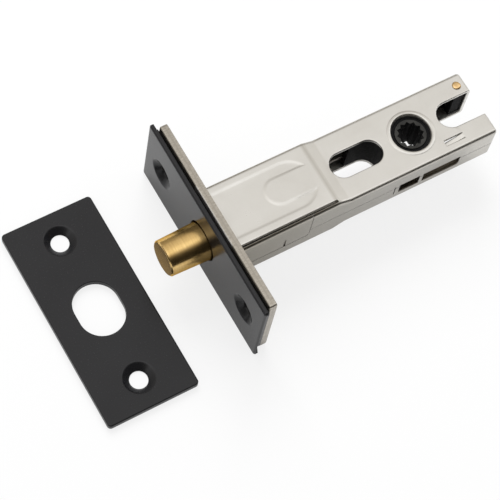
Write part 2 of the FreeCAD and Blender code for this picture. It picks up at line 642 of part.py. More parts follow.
def make_fixing_guard():
    """Moulded block between the broad sides, open to the fixing slot like a U."""
    height = both(INNER_REAR_HALF_HEIGHT - WALL_FIT)
    body = box((GUARD_FRONT_X, GUARD_REAR_X), both(GUARD_HALF_WIDTH), height)
    opening = slot_prism((SLOT_FRONT_X + BEYOND, SLOT_REAR_X - GUARD_SLOT_GAP),
                         SLOT_HALF_WIDTH + GUARD_SLOT_GAP, both(REAR_HALF_HEIGHT + BEYOND))
    return body.cut(opening)


def make_rear_spacer():
    """Block in the -Y prong of the fork, held by the rear rivet."""
    height = both(INNER_REAR_HALF_HEIGHT - WALL_FIT)
    inner_y = -FORK_HALF_WIDTH - SPACER_FORK_GAP
    body = box((SPACER_REAR_X, SPACER_REAR_X + SPACER_LENGTH), (-INNER_HALF_WIDTH + WALL_FIT, inner_y),
               height)
    return body.cut(rivet_hole())


def make_rear_rivet():
    """Brass rivet through both halves of the case and the spacer."""
    return rod_z(both(REAR_HALF_HEIGHT + RIVET_PROUD), RIVET_RADIUS, RIVET_X, RIVET_Y)


def ring_piece(centre_x, centre_y, mean_radius, keep):
    """Part of a strip bent round a circle: the ring, cut down to the box keep."""
    z_range = (keep.BoundBox.ZMin, keep.BoundBox.ZMax)
    outer = rod_z(z_range, mean_radius + SPRING_THICKNESS / 2, centre_x, centre_y)
    inner = rod_z(z_range, mean_radius - SPRING_THICKNESS / 2, centre_x, centre_y)
    return outer.cut(inner).common(keep)


def make_detent_spring():
    """Flat spring along the +Y wall: a half-round bump rests in the draw bar's notch."""
    middle_z = (BAR_PLATE_TOP + BAR_PLATE_BOTTOM) / 2
    z_range = (middle_z - SPRING_HEIGHT / 2, middle_z + SPRING_HEIGHT / 2)
    half = SPRING_THICKNESS / 2
    strip_y = (SPRING_Y - half, SPRING_Y + half)
    lip = box((SPRING_FRONT_X, DETENT_X + SPRING_BUMP_RADIUS - half), strip_y, z_range)
    bend_x = SPRING_TAIL_X + SPRING_BEND_RADIUS
    strip = box((DETENT_X - SPRING_BUMP_RADIUS + half, bend_x), strip_y, z_range)
    reach = SPRING_BUMP_RADIUS + SPRING_THICKNESS
    bump_box = box((DETENT_X - reach, DETENT_X + reach), (SPRING_Y + half, SPRING_Y - reach), z_range)
    bump = ring_piece(DETENT_X, SPRING_Y, SPRING_BUMP_RADIUS, bump_box)
    bend_y = SPRING_Y - SPRING_BEND_RADIUS
    bend_box = box((bend_x, bend_x - reach), (bend_y, bend_y + reach), z_range)
    bend = ring_piece(bend_x, bend_y, SPRING_BEND_RADIUS, bend_box)
    tail = box((SPRING_TAIL_X - half, SPRING_TAIL_X + half), (SPRING_TAIL_Y, bend_y), z_range)
    return lip.multiFuse([strip, bump, bend, tail]).removeSplitter()


def make_strike_plate():
    """Strike plate lying flat on the surface that the forend's edge rests on."""
    flat = plate(STRIKE_LENGTH, STRIKE_WIDTH, STRIKE_THICKNESS, STRIKE_CORNER)
    flat.rotate(Vector(0, 0, 0), Vector(0, 1, 0), -90)
    top_edges = edges_at(flat, lambda p: abs(p.z) < 1e-6)
    body = flat.makeChamfer(STRIKE_EDGE, top_edges)
    depth = (-STRIKE_THICKNESS - BEYOND, BEYOND)
    hole = slot_prism(both(STRIKE_HOLE_LENGTH / 2), STRIKE_HOLE_WIDTH / 2, depth)
    hole.rotate(Vector(0, 0, 0), Vector(0, 0, 1), 90)
    seat = countersunk_hole(0.0, SCREW_HOLE_RADIUS, SCREW_HEAD_RADIUS, SCREW_SEAT_DEPTH, STRIKE_THICKNESS)
    seats = [moved(seat, y=side * SCREW_SPACING / 2) for side in (-1, 1)]
    top = STRIKE_THICKNESS - FACEPLATE_WIDTH / 2
    return moved(body.cut([hole] + seats), STRIKE_X, STRIKE_Y, top)


def main():
    """Make every piece and write each to its own file."""
    half = make_case_half()
    bush = make_follower_bush()
    pieces = {
        "faceplate": make_faceplate(),
        "backplate": make_backplate(),
        "case_upper": make_case_upper(half),
        "case_lower": make_case_lower(half),
        "bolt_guide": make_bolt_guide(),
        "fixing_guard": make_fixing_guard(),
        "rear_spacer": make_rear_spacer(),
        "rear_rivet": make_rear_rivet(),
        "detent_spring": make_detent_spring(),
        "follower_bush_upper": bush,
        "follower_bush_lower": turned_over(bush),
        "bolt": make_bolt(),
        "bolt_pin": make_bolt_pin(),
        "draw_bar": make_draw_bar(),
        "follower": make_follower(),
        "strike_plate": make_strike_plate(),
    }
    os.makedirs("parts", exist_ok=True)
    for name, shape in pieces.items():
        print(f"{name}: solids {len(shape.Solids)}, valid {shape.isValid()}, volume {shape.Volume:.2f}")
        shape.exportStep(f"parts/{name}.step")


main()
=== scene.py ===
"""Looks of the tubular privacy bolt: finishes, softened pieces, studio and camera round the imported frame."""

import json
import logging
import math
from dataclasses import dataclass, replace
from enum import Enum
from functools import reduce

import bmesh
import bpy
from mathutils import Matrix, Vector
from mathutils.bvhtree import BVHTree
from mathutils.geometry import intersect_point_line

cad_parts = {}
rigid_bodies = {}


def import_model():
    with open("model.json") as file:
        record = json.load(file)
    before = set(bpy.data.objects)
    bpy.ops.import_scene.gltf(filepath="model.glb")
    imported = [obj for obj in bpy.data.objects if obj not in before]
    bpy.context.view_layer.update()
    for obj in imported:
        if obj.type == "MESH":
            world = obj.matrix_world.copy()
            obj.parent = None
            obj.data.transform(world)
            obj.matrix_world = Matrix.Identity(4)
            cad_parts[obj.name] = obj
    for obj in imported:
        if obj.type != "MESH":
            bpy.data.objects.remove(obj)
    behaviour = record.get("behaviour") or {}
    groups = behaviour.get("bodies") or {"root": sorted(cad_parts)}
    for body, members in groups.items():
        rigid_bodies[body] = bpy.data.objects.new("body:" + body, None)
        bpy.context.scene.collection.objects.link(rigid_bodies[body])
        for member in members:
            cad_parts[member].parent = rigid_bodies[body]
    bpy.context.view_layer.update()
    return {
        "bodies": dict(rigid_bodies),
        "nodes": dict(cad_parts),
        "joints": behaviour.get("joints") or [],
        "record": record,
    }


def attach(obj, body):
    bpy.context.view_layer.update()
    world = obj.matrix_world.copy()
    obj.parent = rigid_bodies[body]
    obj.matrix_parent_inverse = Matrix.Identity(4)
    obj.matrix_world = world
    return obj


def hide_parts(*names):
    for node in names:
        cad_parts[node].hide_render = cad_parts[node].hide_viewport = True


LOG = logging.getLogger("privacy_bolt")
MM = 0.001
NOISE_SPAN = (0.3, 0.7)
WELD_REACH = 0.001 * MM
CUT_REACH = 0.0001 * MM
LEVEL_REACH = 0.004 * MM
WALL_TILT = 0.8
LEAST_SPREAD = 0.5
FLAT_ANGLE = math.radians(0.6)
SHARP_ANGLE = math.radians(35.0)
TURNED_SHARP_ANGLE = math.radians(60.0)
ROUNDING_TRIES = 6
CROSSING_CLEARANCE = 0.8 * MM
OLD_CROSSING_REACH = 1.0 * MM

Colour = tuple[float, float, float]
Triple = tuple[float, float, float]
# A span holds two values and, where these are not to become 0 and 1, what they become
Span = tuple[float, ...]


class Body(Enum):
    """Moving bodies of the frame."""

    CASE = "lock_case"
    BOLT = "bolt_unit"
    FOLLOWER = "follower_unit"


class Slot(Enum):
    """Material slots of the record."""

    BLACK_COATING = "black_coating"
    NICKEL = "nickel"
    BRASS = "brass"
    MOULDING = "black_moulding"
    FOLLOWER = "dark_follower"


class Graph:
    """Small helper that adds and joins the nodes of one node tree."""

    def __init__(self, tree: bpy.types.NodeTree) -> None:
        """Start with a tree.

        Args:
            tree: the material, world or group tree that nodes go into.
        """
        self.tree = tree

    def add(self, kind: str, inputs: dict[str, object] | None = None, **settings: object) -> bpy.types.Node:
        """Add a node and set it up.

        Args:
            kind: the node's type name.
            inputs: socket name to a plain value or to an output socket that feeds it.
            settings: attributes of the node itself.

        Returns:
            The new node.
        """
        node = self.tree.nodes.new(kind)
        for name, value in settings.items():
            setattr(node, name, value)
        self.fill(node, inputs or {})
        return node

    def fill(self, node: bpy.types.Node, inputs: dict[str, object]) -> None:
        """Give a node's sockets, by name, their values or links."""
        for name, value in inputs.items():
            self.feed(value, node.inputs[name])

    def feed(self, value: object, socket: bpy.types.NodeSocket) -> None:
        """Give a socket its value or its link.

        Args:
            value: a number, a colour, or an output socket.
            socket: the input socket.
        """
        if isinstance(value, bpy.types.NodeSocket):
            self.tree.links.new(value, socket)
        elif isinstance(value, tuple) and len(value) == 3 and socket.type == "RGBA":
            socket.default_value = (*value, 1.0)
        else:
            socket.default_value = value

    def math(self, operation: str, *values: object, clamp: bool = False) -> bpy.types.NodeSocket:
        """Add a Math node.

        Args:
            operation: the Math node's operation.
            values: its inputs, numbers or sockets, in order.
            clamp: whether the result is kept between 0 and 1.

        Returns:
            The result's socket.
        """
        node = self.add("ShaderNodeMath", operation=operation, use_clamp=clamp)
        for index, value in enumerate(values):
            self.feed(value, node.inputs[index])
        return node.outputs[0]

    def times(self, *values: object) -> bpy.types.NodeSocket:
        """Multiply two or more numbers or sockets, and give the product's socket."""
        return reduce(lambda first, second: self.math("MULTIPLY", first, second), values)

    def axes(self, kind: str) -> dict[str, bpy.types.NodeSocket]:
        """Give X, Y and Z of the texture coordinate of that kind."""
        parts = self.add("ShaderNodeSeparateXYZ", {"Vector": self.add("ShaderNodeTexCoord").outputs[kind]})
        return {axis: parts.outputs[axis] for axis in "XYZ"}

    def blend(self, factor: object, first: object, second: object) -> bpy.types.NodeSocket:
        """Mix two colours.

        Args:
            factor: 0 gives the first, 1 the second.
            first: a colour or socket.
            second: a colour or socket.

        Returns:
            The mixed colour's socket.
        """
        node = self.add("ShaderNodeMix", data_type="RGBA")
        self.feed(factor, node.inputs[0])
        self.feed(first, node.inputs[6])
        self.feed(second, node.inputs[7])
        return node.outputs[2]

    def span(self, value: object, low: float, high: float, to_low: float = 0.0,
             to_high: float = 1.0) -> bpy.types.NodeSocket:
        """Map a value from one span to another, clamped.

        Args:
            value: the number's socket.
            low: start of the span it comes from.
            high: end of the span it comes from.
            to_low: what the start becomes.
            to_high: what the end becomes.

        Returns:
            The mapped value's socket.
        """
        node = self.add("ShaderNodeMapRange", {"Value": value, "From Min": low, "From Max": high,
                                               "To Min": to_low, "To Max": to_high})
        return node.outputs[0]


class EffectGroups:
    """Shader node groups that several finishes share, each built once."""

    def __init__(self) -> None:
        """Build every group."""
        self.grain = self._grain()
        self.mottle = self._mottle()
        self.lines = self._lines()
        self.edges = self._edges()
        self.turning = self._turning()

    @staticmethod
    def _new(name: str, inputs: dict[str, float],
             output: str) -> tuple[Graph, bpy.types.Node, bpy.types.Node]:
        """Make an empty group with number sockets.

        Args:
            name: the group's name.
            inputs: input socket names and their defaults.
            output: the output socket's name.

        Returns:
            The tree's helper, its input node and its output node.
        """
        tree = bpy.data.node_groups.new(name, "ShaderNodeTree")
        for socket_name, default in inputs.items():
            socket = tree.interface.new_socket(socket_name, in_out="INPUT", socket_type="NodeSocketFloat")
            socket.default_value = default
        tree.interface.new_socket(output, in_out="OUTPUT", socket_type="NodeSocketFloat")
        graph = Graph(tree)
        return graph, graph.add("NodeGroupInput"), graph.add("NodeGroupOutput")

    def _grain(self) -> bpy.types.NodeTree:
        """Fine even grain of a plated, coated or moulded surface.

        Returns:
            The group.
        """
        graph, given, result = self._new("Fine grain", {"Scale": 2500.0, "Roughness": 0.6}, "Fac")
        place = graph.add("ShaderNodeTexCoord").outputs["Object"]
        noise = graph.add("ShaderNodeTexNoise", {"Vector": place, "Scale": given.outputs["Scale"],
                                                 "Detail": 3.0, "Roughness": given.outputs["Roughness"]})
        graph.feed(noise.outputs["Fac"], result.inputs["Fac"])
        return graph.tree

    def _mottle(self) -> bpy.types.NodeTree:
        """Soft patches several millimetres wide, as on handled metal.

        Returns:
            The group.
        """
        graph, given, result = self._new("Soft mottle", {"Scale": 140.0, "Contrast": 1.0}, "Fac")
        place = graph.add("ShaderNodeTexCoord").outputs["Object"]
        noise = graph.add("ShaderNodeTexNoise", {"Vector": place, "Scale": given.outputs["Scale"],
                                                 "Detail": 4.0, "Roughness": 0.55, "Distortion": 0.4})
        centred = graph.math("SUBTRACT", noise.outputs["Fac"], 0.5)
        spread = graph.times(centred, given.outputs["Contrast"])
        graph.feed(graph.math("ADD", spread, 0.5, clamp=True), result.inputs["Fac"])
        return graph.tree

    def _lines(self) -> bpy.types.NodeTree:
        """Fine parallel lines, as rolling or shearing leaves in sheet metal.

        Returns:
            The group.
        """
        graph, given, result = self._new(
            "Drawn lines", {"Along X": 60.0, "Along Y": 3000.0, "Along Z": 3000.0}, "Fac")
        stretched = graph.add("ShaderNodeCombineXYZ", {
            axis: graph.times(place, given.outputs["Along " + axis])
            for axis, place in graph.axes("Object").items()})
        noise = graph.add("ShaderNodeTexNoise", {"Vector": stretched.outputs[0], "Scale": 1.0, "Detail": 3.0,
                                                 "Roughness": 0.65})
        graph.feed(noise.outputs["Fac"], result.inputs["Fac"])
        return graph.tree

    def _edges(self) -> bpy.types.NodeTree:
        """Mask that is 1 on edges and fades off within a radius.

        Returns:
            The group.
        """
        graph, given, result = self._new("Edge mask", {"Radius": 0.3 * MM, "Gain": 6.0}, "Mask")
        bevel = graph.add("ShaderNodeBevel", {"Radius": given.outputs["Radius"]}, samples=6)
        facing = graph.add("ShaderNodeVectorMath", operation="DOT_PRODUCT")
        for index, node in enumerate((bevel, graph.add("ShaderNodeNewGeometry"))):
            graph.feed(node.outputs["Normal"], facing.inputs[index])
        turned = graph.math("SUBTRACT", 1.0, facing.outputs["Value"])
        graph.feed(graph.math("MULTIPLY", turned, given.outputs["Gain"], clamp=True), result.inputs["Mask"])
        return graph.tree

    def _turning(self) -> bpy.types.NodeTree:
        """Rings of a turned piece about the bolt's axis, on its side and on its end face alike.

        Returns:
            The group.
        """
        graph, given, result = self._new("Turning rings", {"Scale": 4200.0, "Wander": 0.15}, "Fac")
        along, across, up = graph.axes("Object").values()
        radius = graph.math("SQRT", graph.math("ADD", graph.times(across, across), graph.times(up, up)))
        angle = graph.math("ARCTAN2", across, up)
        rings = graph.add("ShaderNodeCombineXYZ", {"X": graph.times(along, given.outputs["Scale"]),
                                                   "Y": graph.times(radius, given.outputs["Scale"]),
                                                   "Z": graph.times(angle, given.outputs["Wander"])})
        noise = graph.add("ShaderNodeTexNoise", {"Vector": rings.outputs[0], "Scale": 1.0, "Detail": 2.5,
                                                 "Roughness": 0.6})
        graph.feed(noise.outputs["Fac"], result.inputs["Fac"])
        return graph.tree


def use_group(graph: Graph, group: bpy.types.NodeTree, **values: object) -> bpy.types.NodeSocket:
    """Place a group in a material.

    Args:
        graph: the material's helper.
        group: the group's tree.
        values: input values, with underscores for the spaces in socket names.

    Returns:
        The group's first output.
    """
    node = graph.add("ShaderNodeGroup", node_tree=group)
    for name, value in values.items():
        graph.feed(value, node.inputs[name.replace("_", " ")])
    return node.outputs[0]


@dataclass(frozen=True)
class Relief:
    """How strongly a surface's fine texture stands out."""

    depth: float
    strength: float
    rounding: float


def finish_normal(graph: Graph, height: object, relief: Relief) -> bpy.types.NodeSocket:
    """Bump over softly rounded edges.

    Args:
        graph: the material's helper.
        height: the height's socket.
        relief: depth in metres, strength and the edges' rounding in metres.

    Returns:
        The normal's socket.
    """
    rounded = graph.add("ShaderNodeBevel", {"Radius": relief.rounding}, samples=8)
    bump = graph.add("ShaderNodeBump", {"Height": height, "Strength": relief.strength,
                                        "Distance": relief.depth, "Normal": rounded.outputs["Normal"]})
    return bump.outputs["Normal"]


def new_material(name: str, colour: Colour) -> tuple[bpy.types.Material, Graph, bpy.types.Node]:
    """Start a material that has nothing but its shader and output.

    Args:
        name: the material's name.
        colour: the plain colour shown outside a render.

    Returns:
        The material, its helper and its Principled shader.
    """
    material = bpy.data.materials.new(name)
    material.use_nodes = True
    material.diffuse_color = (*colour, 1.0)
    material.node_tree.nodes.clear()
    graph = Graph(material.node_tree)
    shader = graph.add("ShaderNodeBsdfPrincipled")
    graph.add("ShaderNodeOutputMaterial", {"Surface": shader.outputs[0]})
    return material, graph, shader


@dataclass(frozen=True)
class SatinNickel:
    """Satin nickel plate on pressed steel: warm grey, even grain, faint rolling lines, painted edge highlight
    and painted shade.
    """

    name: str = "satin_nickel"
    light: Colour = (0.735, 0.722, 0.69)
    deep: Colour = (0.64, 0.622, 0.585)
    # Paler colour on the edges: painted highlight along the rounded edges and beads.
    paler_tone: Colour = (0.86, 0.85, 0.83)
    edge_wear_and_highlight: float = 0.55
    roughness: tuple[float, float] = (0.27, 0.40)
    relief: Relief = Relief(0.03 * MM, 0.22, 0.35 * MM)
    # Painted shade: the outer side walls are darkened towards the faceplate, standing in for the shadowed
    # floor they reflect, and a dark band is painted across the crease at the ramp.
    side: Colour = (0.36, 0.335, 0.285)
    side_outer: Span = (8.9 * MM, 9.1 * MM)
    side_length: Span = (-46.0 * MM, -6.0 * MM, 0.4, 1.0)
    crease: float = -32.9 * MM
    crease_reach: Span = (0.1 * MM, 0.9 * MM, 0.5, 0.0)
    # Painted shade: near-black brown on the flange tops beside the seams, where the seam's shadow falls, and
    # on the inner faces seen through the windows.
    seam_and_inside_shade: Colour = (0.13, 0.115, 0.09)
    flange_inner: Span = (8.5 * MM, 8.6 * MM)
    flange_end: Span = (-34.5 * MM, -32.0 * MM)
    window_side: Span = (6.0 * MM, 7.0 * MM)
    facing_out: Span = (0.6, 0.9)
    facing_in: Span = (-0.9, -0.6, 1.0, 0.0)
    sheared_front: float | None = None
    sheared_depth: float = 2.2 * MM
    torn_share: float = 0.55
    torn_reach: Span = (0.02 * MM, 0.22 * MM, 0.7, 0.0)
    streaks: Span = (0.35, 0.65)
    sheared_light: Colour = (0.50, 0.465, 0.41)
    sheared_deep: Colour = (0.34, 0.31, 0.265)

    def build(self, groups: EffectGroups) -> bpy.types.Material:
        """Make the material.

        Args:
            groups: the shared effects.

        Returns:
            The material.
        """
        material, graph, shader = new_material(self.name, self.light)
        mottle = use_group(graph, groups.mottle, Scale=95.0, Contrast=1.6)
        grain = use_group(graph, groups.grain, Scale=3200.0, Roughness=0.7)
        lines = use_group(graph, groups.lines, Along_X=70.0, Along_Y=2600.0, Along_Z=2600.0)
        edge = use_group(graph, groups.edges, Radius=0.25 * MM, Gain=4.0)
        base = graph.blend(mottle, self.light, self.deep)
        base = graph.blend(graph.times(lines, 0.25), base, self.deep)
        # Painted shade on the side walls and at the ramp's crease.
        base = graph.blend(self._painted_side_shade(graph), base, self.side)
        # Painted shade on the flange tops by the seams and on the inner faces by the windows.
        base = graph.blend(self._seam_and_inside_shade_mask(graph), base, self.seam_and_inside_shade)
        height = graph.math("ADD", graph.times(grain, 0.7), graph.times(lines, 0.3))
        if self.sheared_front is not None:
            sheared = self._sheared(graph)
            shear = use_group(graph, groups.lines, Along_X=900.0, Along_Y=5200.0, Along_Z=5200.0)
            tone = graph.blend(graph.span(shear, *self.streaks), self.sheared_light, self.sheared_deep)
            tone = graph.blend(self._torn(graph), tone, self.sheared_deep)
            base = graph.blend(sheared, base, tone)
            height = graph.math("ADD", height, graph.times(shear, sheared, 2.0))
        spread = graph.math("ADD", graph.times(mottle, 0.6), graph.times(grain, 0.4))
        # Edges blended to the paler colour: painted highlight.
        graph.fill(shader, {"Base Color": graph.blend(graph.times(edge, self.edge_wear_and_highlight), base, self.paler_tone),
                            "Roughness": graph.span(spread, *NOISE_SPAN, *self.roughness), "Metallic": 1.0,
                            "Normal": finish_normal(graph, height, self.relief)})
        return material

    def _painted_side_shade(self, graph: Graph) -> bpy.types.NodeSocket:
        """Mask of painted shade: the outer side walls, stronger towards the faceplate, and a band across the
        crease at the ramp.

        Args:
            graph: the material's helper.

        Returns:
            The mask's socket.
        """
        place = graph.axes("Object")
        outer = graph.span(graph.math("ABSOLUTE", place["Y"]), *self.side_outer)
        side = graph.times(outer, graph.span(place["X"], *self.side_length))
        across = graph.math("ABSOLUTE", graph.math("SUBTRACT", place["X"], self.crease))
        return graph.math("MAXIMUM", side, graph.span(across, *self.crease_reach))

    def _seam_and_inside_shade_mask(self, graph: Graph) -> bpy.types.NodeSocket:
        """Mask of painted shade: the flanges' tops beside the panels' seams, and the sheet's inside by the
        windows.

        Args:
            graph: the material's helper.

        Returns:
            The mask's socket.
        """
        place = graph.axes("Object")
        side = graph.math("SIGN", place["Z"])
        outwards = graph.times(graph.axes("Normal")["Z"], side)
        flange = graph.times(graph.span(graph.times(place["Y"], side), *self.flange_inner),
                             graph.span(place["X"], *self.flange_end),
                             graph.span(outwards, *self.facing_out))
        inside = graph.times(graph.span(place["Y"], *self.window_side), graph.span(outwards, *self.facing_in))
        return graph.math("MAXIMUM", flange, inside)

    def _torn(self, graph: Graph) -> bpy.types.NodeSocket:
        """Mask of the thin line along a sheared edge where the metal tore.

        Args:
            graph: the material's helper.

        Returns:
            The mask's socket.
        """
        middle = self.sheared_front - self.torn_share * self.sheared_depth
        away = graph.math("ABSOLUTE", graph.math("SUBTRACT", graph.axes("Object")["X"], middle))
        return graph.span(away, *self.torn_reach)

    def _sheared(self, graph: Graph) -> bpy.types.NodeSocket:
        """Mask of a plate's sheared edge faces: near the plate in X and not facing along X.

        Args:
            graph: the material's helper.

        Returns:
            The mask's socket.
        """
        back = self.sheared_front - self.sheared_depth
        behind = graph.math("GREATER_THAN", graph.axes("Object")["X"], back)
        sideways = graph.math("LESS_THAN", graph.math("ABSOLUTE", graph.axes("Normal")["X"]), 0.5)
        return graph.times(behind, sideways)


@dataclass(frozen=True)
class SatinBlackCoat:
    """Satin black powder coat with a very fine texture, a shade lighter where edges are rubbed."""

    name: str = "satin_black_coat"
    base: Colour = (0.0095, 0.0095, 0.0108)
    lighter: Colour = (0.015, 0.015, 0.0165)
    rubbed: Colour = (0.04, 0.04, 0.042)
    rubbing: float = 0.35
    worn_face: Colour | None = None
    facing: Span = (0.8, 0.95)
    face_wear: Span = (*NOISE_SPAN, 0.6, 1.0)
    roughness: tuple[float, float] = (0.23, 0.28)
    shine: float = 0.34
    patch_scale: float = 60.0
    patch_contrast: float = 1.4
    grain_scale: float = 2600.0
    grain_roughness: float = 0.55
    edge_gain: float = 2.5
    relief: Relief = Relief(0.02 * MM, 0.10, 0.3 * MM)

    def build(self, groups: EffectGroups) -> bpy.types.Material:
        """Make the material.

        Args:
            groups: the shared effects.

        Returns:
            The material.
        """
        material, graph, shader = new_material(self.name, self.base)
        mottle = use_group(graph, groups.mottle, Scale=self.patch_scale, Contrast=self.patch_contrast)
        grain = use_group(graph, groups.grain, Scale=self.grain_scale, Roughness=self.grain_roughness)
        edge = use_group(graph, groups.edges, Radius=0.2 * MM, Gain=self.edge_gain)
        base = graph.blend(mottle, self.base, self.lighter)
        if self.worn_face is not None:
            face = graph.span(graph.math("ABSOLUTE", graph.axes("Normal")["Z"]), *self.facing)
            paler_tone = graph.times(face, graph.span(mottle, *self.face_wear))
            base = graph.blend(paler_tone, base, self.worn_face)
        graph.fill(shader, {"Base Color": graph.blend(graph.times(edge, self.rubbing), base, self.rubbed),
                            "Roughness": graph.span(grain, *NOISE_SPAN, *self.roughness),
                            "Specular IOR Level": self.shine,
                            "Normal": finish_normal(graph, grain, self.relief)})
        return material


@dataclass(frozen=True)
class BlackBody(SatinBlackCoat):
    """Black moulded nylon or blackened casting: coarser grain, duller sheen, greyer edges."""

    name: str = "black_nylon"
    base: Colour = (0.004, 0.004, 0.0045)
    lighter: Colour = (0.008, 0.008, 0.0085)
    rubbed: Colour = (0.03, 0.03, 0.03)
    rubbing: float = 0.6
    roughness: tuple[float, float] = (0.58, 0.78)
    shine: float = 0.14
    patch_scale: float = 300.0
    patch_contrast: float = 1.6
    grain_scale: float = 1800.0
    grain_roughness: float = 0.6
    edge_gain: float = 4.0
    relief: Relief = Relief(0.04 * MM, 0.3, 0.2 * MM)


@dataclass(frozen=True)
class TurnedBrass:
    """Turned brass: rings from the tool, tarnished patches, end faces painted darker brown as shade, and
    bright edges.
    """

    name: str = "turned_brass"
    light: Colour = (0.80, 0.56, 0.24)
    deep: Colour = (0.55, 0.35, 0.12)
    bright: Colour = (0.93, 0.76, 0.45)
    edge_wear_and_highlight: float = 0.7
    tarnish: Span = (*NOISE_SPAN, 0.0, 0.8)
    roughness: tuple[float, float] = (0.17, 0.24)
    relief: Relief = Relief(0.02 * MM, 0.15, 0.25 * MM)
    rings: float = 3200.0
    facing: Span = (0.86, 0.97)
    # Painted shade: the end faces are darker brown and less metallic, as though they reflected the shadowed
    # floor.
    end_face_shade: Colour = (0.13, 0.085, 0.05)
    end_face_shade_metal: float = 0.75
    grazing: Colour = (0.82, 0.62, 0.34)

    def build(self, groups: EffectGroups) -> bpy.types.Material:
        """Make the material.

        Args:
            groups: the shared effects.

        Returns:
            The material.
        """
        material, graph, shader = new_material(self.name, self.light)
        mottle = use_group(graph, groups.mottle, Scale=180.0, Contrast=1.3)
        turning = use_group(graph, groups.turning, Scale=self.rings, Wander=0.25)
        grain = use_group(graph, groups.grain, Scale=4000.0, Roughness=0.6)
        edge = use_group(graph, groups.edges, Radius=0.3 * MM, Gain=5.0)
        tone = graph.math("ADD", graph.times(mottle, 0.5), graph.times(turning, 0.5))
        base = graph.blend(graph.span(tone, *self.tarnish), self.light, self.deep)
        # Painted shade on the faces that look along the bolt's axis.
        end_face_shade = graph.span(graph.math("ABSOLUTE", graph.axes("Normal")["X"]), *self.facing)
        base = graph.blend(end_face_shade, base, self.end_face_shade)
        height = graph.math("ADD", graph.times(turning, 0.8), graph.times(grain, 0.2))
        graph.fill(shader, {"Base Color": graph.blend(graph.times(edge, self.edge_wear_and_highlight), base, self.bright),
                            "Roughness": graph.span(turning, *NOISE_SPAN, *self.roughness),
                            "Metallic": graph.span(end_face_shade, 0.0, 1.0, to_low=1.0, to_high=self.end_face_shade_metal),
                            "Specular Tint": self.grazing,
                            "Normal": finish_normal(graph, height, self.relief)})
        return material


@dataclass(frozen=True)
class DullMetal:
    """Plain strip or wire metal with drawn lines and a little staining."""

    name: str = "dull_zinc"
    light: Colour = (0.34, 0.325, 0.30)
    deep: Colour = (0.20, 0.185, 0.165)
    edge_wear_and_highlight: float = 0.4
    roughness: tuple[float, float] = (0.35, 0.55)
    relief: Relief = Relief(0.03 * MM, 0.3, 0.2 * MM)

    def build(self, groups: EffectGroups) -> bpy.types.Material:
        """Make the material.

        Args:
            groups: the shared effects.

        Returns:
            The material.
        """
        material, graph, shader = new_material(self.name, self.light)
        mottle = use_group(graph, groups.mottle, Scale=220.0, Contrast=1.8)
        lines = use_group(graph, groups.lines, Along_X=120.0, Along_Y=3000.0, Along_Z=3000.0)
        edge = use_group(graph, groups.edges, Radius=0.2 * MM, Gain=4.0)
        tone = graph.math("ADD", graph.times(mottle, 0.6), graph.times(lines, 0.4))
        base = graph.blend(graph.span(tone, *NOISE_SPAN), self.light, self.deep)
        graph.fill(shader, {"Base Color": graph.blend(graph.times(edge, self.edge_wear_and_highlight), base, self.light),
                            "Roughness": graph.span(lines, *NOISE_SPAN, *self.roughness), "Metallic": 1.0,
                            "Normal": finish_normal(graph, lines, self.relief)})
        return material


class Finishes:
    """Every finish of the part, built once from the shared effects."""

    def __init__(self) -> None:
        """Build the groups and the materials."""
        groups = EffectGroups()
        self.nickel = SatinNickel().build(groups)
        self.nickel_plate = SatinNickel(name="satin_nickel_plate", sheared_front=-2.0 * MM).build(groups)
        self.black_coat = SatinBlackCoat().build(groups)
        self.brass = TurnedBrass().build(groups)
        # The rivet's painted end shade is set close to its own colour, so it adds almost none.
        self.rivet_brass = TurnedBrass(name="rivet_brass", light=(0.90, 0.66, 0.36), deep=(0.62, 0.38, 0.15),
                                       end_face_shade=(0.86, 0.62, 0.32), end_face_shade_metal=1.0, roughness=(0.18, 0.28),
                                       rings=1500.0).build(groups)
        self.zinc = DullMetal().build(groups)
        self.bronze = DullMetal(name="spring_bronze", light=(0.30, 0.19, 0.10),
                                deep=(0.15, 0.09, 0.045)).build(groups)
        self.nylon = BlackBody().build(groups)
        self.blackened = BlackBody(name="blackened_casting", base=(0.005, 0.005, 0.0055),
                                   lighter=(0.010, 0.010, 0.0105), rubbed=(0.10, 0.098, 0.09),
                                   worn_face=(0.046, 0.045, 0.042), grain_scale=1400.0).build(groups)


def link_mesh(name: str, mesh: bpy.types.Mesh) -> bpy.types.Object:
    """Put a mesh in the scene.

    Args:
        name: the piece's name.
        mesh: its mesh.

    Returns:
        The new object.
    """
    piece = bpy.data.objects.new(name, mesh)
    bpy.context.scene.collection.objects.link(piece)
    return piece


def link_built(name: str, build: bmesh.types.BMesh, sharp_from: float) -> bpy.types.Object:
    """Put a built mesh in the scene, smooth but for its sharp edges.

    Args:
        name: the piece's name.
        build: its mesh, which is used up.
        sharp_from: angle between two faces from which their edge stays sharp.

    Returns:
        The new object.
    """
    mesh = bpy.data.meshes.new(name)
    build.to_mesh(mesh)
    build.free()
    for stale in ("rounded", "custom_normal"):
        if stale in mesh.attributes:
            mesh.attributes.remove(mesh.attributes[stale])
    mesh.shade_smooth()
    mesh.set_sharp_from_angle(angle=sharp_from)
    return link_mesh(name, mesh)


